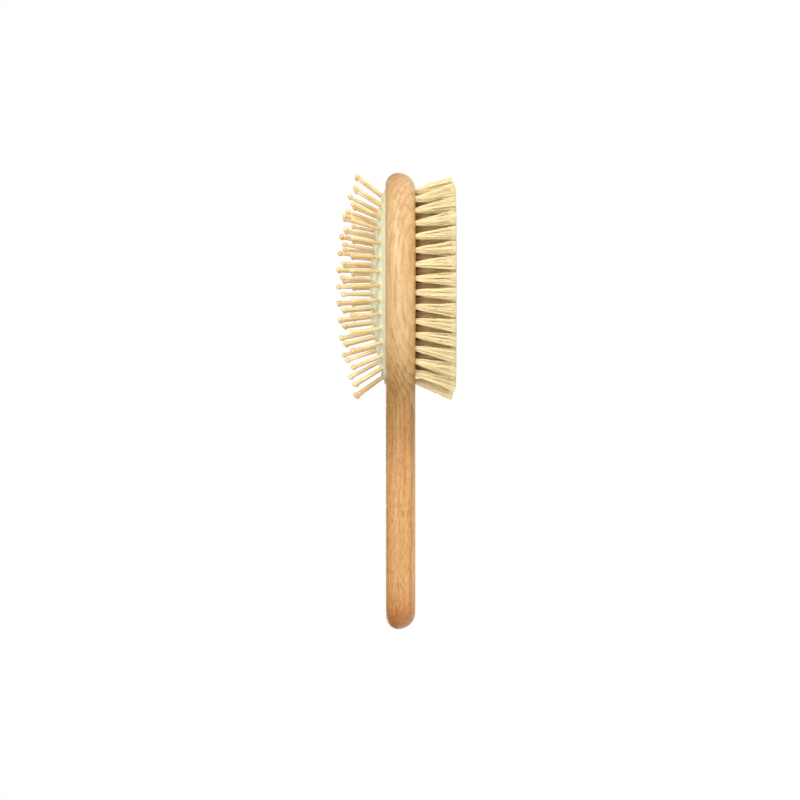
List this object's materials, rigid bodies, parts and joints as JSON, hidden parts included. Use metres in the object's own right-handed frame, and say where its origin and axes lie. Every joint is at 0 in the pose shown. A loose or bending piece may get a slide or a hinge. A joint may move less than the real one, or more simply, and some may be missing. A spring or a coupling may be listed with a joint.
{
  "type": "hairbrush",
  "caption": "Double-sided wooden hairbrush with ball-tipped wooden pins on an air cushion and natural bristle tufts on the other face.",
  "frame": {"origin": "centre of the box's lowest face: the plane of the trimmed bristle tips that the brush lies on", "axes": "+X along the brush towards the head, +Y across it, +Z from the bristles towards the wooden pins"},
  "size_m": [0.23, 0.06, 0.0606],
  "materials": {
    "beech": "oiled beech, satin",
    "pin_wood": "pale turned wood, smooth",
    "rubber": "matt natural rubber",
    "bristle": "natural boar bristle, bleached",
    "anchor_wire": "drawn wire"
  },
  "bodies": {
    "handle_and_head": {"wooden_body": "beech", "outer_tufts": "bristle", "second_tufts": "bristle", "third_tufts": "bristle", "middle_tufts": "bristle", "tuft_anchors": "anchor_wire"},
    "air_cushion": {"cushion": "rubber"},
    "outer_pins_01": {"outer_pins_01": "pin_wood"},
    "outer_pins_02": {"outer_pins_02": "pin_wood"},
    "outer_pins_03": {"outer_pins_03": "pin_wood"},
    "outer_pins_04": {"outer_pins_04": "pin_wood"},
    "outer_pins_05": {"outer_pins_05": "pin_wood"},
    "outer_pins_06": {"outer_pins_06": "pin_wood"},
    "outer_pins_07": {"outer_pins_07": "pin_wood"},
    "outer_pins_08": {"outer_pins_08": "pin_wood"},
    "outer_pins_09": {"outer_pins_09": "pin_wood"},
    "outer_pins_10": {"outer_pins_10": "pin_wood"},
    "outer_pins_11": {"outer_pins_11": "pin_wood"},
    "outer_pins_12": {"outer_pins_12": "pin_wood"},
    "outer_pins_13": {"outer_pins_13": "pin_wood"},
    "outer_pins_14": {"outer_pins_14": "pin_wood"},
    "outer_pins_15": {"outer_pins_15": "pin_wood"},
    "middle_pins_01": {"middle_pins_01": "pin_wood"},
    "middle_pins_02": {"middle_pins_02": "pin_wood"},
    "middle_pins_03": {"middle_pins_03": "pin_wood"},
    "middle_pins_04": {"middle_pins_04": "pin_wood"},
    "middle_pins_05": {"middle_pins_05": "pin_wood"},
    "middle_pins_06": {"middle_pins_06": "pin_wood"},
    "middle_pins_07": {"middle_pins_07": "pin_wood"},
    "middle_pins_08": {"middle_pins_08": "pin_wood"},
    "middle_pins_09": {"middle_pins_09": "pin_wood"},
    "middle_pins_10": {"middle_pins_10": "pin_wood"},
    "middle_pins_11": {"middle_pins_11": "pin_wood"},
    "middle_pins_12": {"middle_pins_12": "pin_wood"},
    "inner_pins_01": {"inner_pins_01": "pin_wood"},
    "inner_pins_02": {"inner_pins_02": "pin_wood"},
    "inner_pins_03": {"inner_pins_03": "pin_wood"},
    "inner_pins_04": {"inner_pins_04": "pin_wood"},
    "inner_pins_05": {"inner_pins_05": "pin_wood"},
    "inner_pins_06": {"inner_pins_06": "pin_wood"},
    "inner_pins_07": {"inner_pins_07": "pin_wood"},
    "inner_pins_08": {"inner_pins_08": "pin_wood"},
    "inner_pins_09": {"inner_pins_09": "pin_wood"}
  },
  "joints": [
    {"name": "cushion_press", "type": "slide", "parent": "handle_and_head", "child": "air_cushion", "axis": [0, 0, 1], "range_m": [-0.0025, 0], "stiffness_N_per_m": 2000, "deforming": ["cushion"]},
    {"name": "outer_tilt_01", "type": "hinge", "parent": "air_cushion", "child": "outer_pins_01", "pos_m": [0.10063, 0.00608, 0.03697], "axis": [-0.6521, 0.7579, 0.0201], "range_deg": [-8, 8], "stiffness_Nm_per_rad": 0.013},
    {"name": "outer_tilt_02", "type": "hinge", "parent": "air_cushion", "child": "outer_pins_02", "pos_m": [0.08888, 0.0136, 0.03738], "axis": [-0.9349, 0.3535, 0.0333], "range_deg": [-8, 8], "stiffness_Nm_per_rad": 0.013},
    {"name": "outer_tilt_03", "type": "hinge", "parent": "air_cushion", "child": "outer_pins_03", "pos_m": [0.07519, 0.01721, 0.0378], "axis": [-0.9858, 0.1661, 0.025], "range_deg": [-8, 8], "stiffness_Nm_per_rad": 0.013},
    {"name": "outer_tilt_04", "type": "hinge", "parent": "air_cushion", "child": "outer_pins_04", "pos_m": [0.06111, 0.01859, 0.03803], "axis": [-0.9995, 0.0318, 0.0056], "range_deg": [-8, 8], "stiffness_Nm_per_rad": 0.013},
    {"name": "outer_tilt_05", "type": "hinge", "parent": "air_cushion", "child": "outer_pins_05", "pos_m": [0.0469, 0.01814, 0.03795], "axis": [-0.9953, -0.0952, -0.016], "range_deg": [-8, 8], "stiffness_Nm_per_rad": 0.013},
    {"name": "outer_tilt_06", "type": "hinge", "parent": "air_cushion", "child": "outer_pins_06", "pos_m": [0.03294, 0.01575, 0.03761], "axis": [-0.9684, -0.2473, -0.0311], "range_deg": [-8, 8], "stiffness_Nm_per_rad": 0.013},
    {"name": "outer_tilt_07", "type": "hinge", "parent": "air_cushion", "child": "outer_pins_07", "pos_m": [0.01978, 0.01057, 0.03715], "axis": [-0.8629, -0.5044, -0.0302], "range_deg": [-8, 8], "stiffness_Nm_per_rad": 0.013},
    {"name": "outer_tilt_08", "type": "hinge", "parent": "air_cushion", "child": "outer_pins_08", "pos_m": [0.01208, 0.00002, 0.0369], "axis": [-0.0022, -1, -0.0001], "range_deg": [-8, 8], "stiffness_Nm_per_rad": 0.013},
    {"name": "outer_tilt_09", "type": "hinge", "parent": "air_cushion", "child": "outer_pins_09", "pos_m": [0.01973, -0.01055, 0.03715], "axis": [0.8621, -0.5058, 0.0302], "range_deg": [-8, 8], "stiffness_Nm_per_rad": 0.013},
    {"name": "outer_tilt_10", "type": "hinge", "parent": "air_cushion", "child": "outer_pins_10", "pos_m": [0.03287, -0.01574, 0.0376], "axis": [0.9682, -0.2482, 0.0311], "range_deg": [-8, 8], "stiffness_Nm_per_rad": 0.013},
    {"name": "outer_tilt_11", "type": "hinge", "parent": "air_cushion", "child": "outer_pins_11", "pos_m": [0.04683, -0.01813, 0.03795], "axis": [0.9953, -0.096, 0.0161], "range_deg": [-8, 8], "stiffness_Nm_per_rad": 0.013},
    {"name": "outer_tilt_12", "type": "hinge", "parent": "air_cushion", "child": "outer_pins_12", "pos_m": [0.06103, -0.01859, 0.03803], "axis": [0.9995, 0.0311, -0.0055], "range_deg": [-8, 8], "stiffness_Nm_per_rad": 0.013},
    {"name": "outer_tilt_13", "type": "hinge", "parent": "air_cushion", "child": "outer_pins_13", "pos_m": [0.07512, -0.01722, 0.0378], "axis": [0.9859, 0.1653, -0.0249], "range_deg": [-8, 8], "stiffness_Nm_per_rad": 0.013},
    {"name": "outer_tilt_14", "type": "hinge", "parent": "air_cushion", "child": "outer_pins_14", "pos_m": [0.08883, -0.01362, 0.03738], "axis": [0.9353, 0.3524, -0.0333], "range_deg": [-8, 8], "stiffness_Nm_per_rad": 0.013},
    {"name": "outer_tilt_15", "type": "hinge", "parent": "air_cushion", "child": "outer_pins_15", "pos_m": [0.1006, -0.00611, 0.03697], "axis": [0.6542, 0.7561, -0.0202], "range_deg": [-8, 8], "stiffness_Nm_per_rad": 0.013},
    {"name": "middle_tilt_01", "type": "hinge", "parent": "air_cushion", "child": "middle_pins_01", "pos_m": [0.09237, 0.00525, 0.03916], "axis": [-0.8327, 0.5468, 0.0874], "range_deg": [-8, 8], "stiffness_Nm_per_rad": 0.013},
    {"name": "middle_tilt_02", "type": "hinge", "parent": "air_cushion", "child": "middle_pins_02", "pos_m": [0.07899, 0.00989, 0.04044], "axis": [-0.9822, 0.17, 0.0803], "range_deg": [-8, 8], "stiffness_Nm_per_rad": 0.013},
    {"name": "middle_tilt_03", "type": "hinge", "parent": "air_cushion", "child": "middle_pins_03", "pos_m": [0.06471, 0.01133, 0.04126], "axis": [-0.9987, 0.04, 0.0315], "range_deg": [-8, 8], "stiffness_Nm_per_rad": 0.013},
    {"name": "middle_tilt_04", "type": "hinge", "parent": "air_cushion", "child": "middle_pins_04", "pos_m": [0.05036, 0.01133, 0.04127], "axis": [-0.9987, -0.0395, -0.0312], "range_deg": [-8, 8], "stiffness_Nm_per_rad": 0.013},
    {"name": "middle_tilt_05", "type": "hinge", "parent": "air_cushion", "child": "middle_pins_05", "pos_m": [0.03606, 0.0099, 0.04045], "axis": [-0.9823, -0.1693, -0.0801], "range_deg": [-8, 8], "stiffness_Nm_per_rad": 0.013},
    {"name": "middle_tilt_06", "type": "hinge", "parent": "air_cushion", "child": "middle_pins_06", "pos_m": [0.02266, 0.00527, 0.03916], "axis": [-0.8339, -0.5449, -0.0875], "range_deg": [-8, 8], "stiffness_Nm_per_rad": 0.013},
    {"name": "middle_tilt_07", "type": "hinge", "parent": "air_cushion", "child": "middle_pins_07", "pos_m": [0.02263, -0.00525, 0.03916], "axis": [0.8327, -0.5468, 0.0874], "range_deg": [-8, 8], "stiffness_Nm_per_rad": 0.013},
    {"name": "middle_tilt_08", "type": "hinge", "parent": "air_cushion", "child": "middle_pins_08", "pos_m": [0.03601, -0.00989, 0.04044], "axis": [0.9822, -0.17, 0.0803], "range_deg": [-8, 8], "stiffness_Nm_per_rad": 0.013},
    {"name": "middle_tilt_09", "type": "hinge", "parent": "air_cushion", "child": "middle_pins_09", "pos_m": [0.05029, -0.01133, 0.04126], "axis": [0.9987, -0.04, 0.0315], "range_deg": [-8, 8], "stiffness_Nm_per_rad": 0.013},
    {"name": "middle_tilt_10", "type": "hinge", "parent": "air_cushion", "child": "middle_pins_10", "pos_m": [0.06464, -0.01133, 0.04127], "axis": [0.9987, 0.0395, -0.0312], "range_deg": [-8, 8], "stiffness_Nm_per_rad": 0.013},
    {"name": "middle_tilt_11", "type": "hinge", "parent": "air_cushion", "child": "middle_pins_11", "pos_m": [0.07894, -0.0099, 0.04045], "axis": [0.9823, 0.1693, -0.0801], "range_deg": [-8, 8], "stiffness_Nm_per_rad": 0.013},
    {"name": "middle_tilt_12", "type": "hinge", "parent": "air_cushion", "child": "middle_pins_12", "pos_m": [0.09234, -0.00527, 0.03916], "axis": [0.8339, 0.5449, -0.0875], "range_deg": [-8, 8], "stiffness_Nm_per_rad": 0.013},
    {"name": "inner_tilt_01", "type": "hinge", "parent": "air_cushion", "child": "inner_pins_01", "pos_m": [0.08382, 0.00345, 0.04102], "axis": [-0.9795, 0.1452, 0.14], "range_deg": [-8, 8], "stiffness_Nm_per_rad": 0.013},
    {"name": "inner_tilt_02", "type": "hinge", "parent": "air_cushion", "child": "inner_pins_02", "pos_m": [0.06886, 0.00427, 0.04262], "axis": [-0.9978, 0.0069, 0.0667], "range_deg": [-8, 8], "stiffness_Nm_per_rad": 0.013},
    {"name": "inner_tilt_03", "type": "hinge", "parent": "air_cushion", "child": "inner_pins_03", "pos_m": [0.05374, 0.0043, 0.04296], "axis": [-0.9998, -0.0004, -0.0223], "range_deg": [-8, 8], "stiffness_Nm_per_rad": 0.013},
    {"name": "inner_tilt_04", "type": "hinge", "parent": "air_cushion", "child": "inner_pins_04", "pos_m": [0.03869, 0.00412, 0.04197], "axis": [-0.9936, -0.0328, -0.1079], "range_deg": [-8, 8], "stiffness_Nm_per_rad": 0.013},
    {"name": "inner_tilt_05", "type": "hinge", "parent": "air_cushion", "child": "inner_pins_05", "pos_m": [0.02749, 0, 0.04049], "axis": [-0.0023, -1, -0.0003], "range_deg": [-8, 8], "stiffness_Nm_per_rad": 0.013},
    {"name": "inner_tilt_06", "type": "hinge", "parent": "air_cushion", "child": "inner_pins_06", "pos_m": [0.03865, -0.00412, 0.04196], "axis": [0.9936, -0.0331, 0.1081], "range_deg": [-8, 8], "stiffness_Nm_per_rad": 0.013},
    {"name": "inner_tilt_07", "type": "hinge", "parent": "air_cushion", "child": "inner_pins_07", "pos_m": [0.05369, -0.0043, 0.04296], "axis": [0.9997, -0.0005, 0.0226], "range_deg": [-8, 8], "stiffness_Nm_per_rad": 0.013},
    {"name": "inner_tilt_08", "type": "hinge", "parent": "air_cushion", "child": "inner_pins_08", "pos_m": [0.06877, -0.00427, 0.04263], "axis": [0.9978, 0.0068, -0.0662], "range_deg": [-8, 8], "stiffness_Nm_per_rad": 0.013},
    {"name": "inner_tilt_09", "type": "hinge", "parent": "air_cushion", "child": "inner_pins_09", "pos_m": [0.0838, -0.00345, 0.04103], "axis": [0.9796, 0.1444, -0.1399], "range_deg": [-8, 8], "stiffness_Nm_per_rad": 0.013}
  ]
}
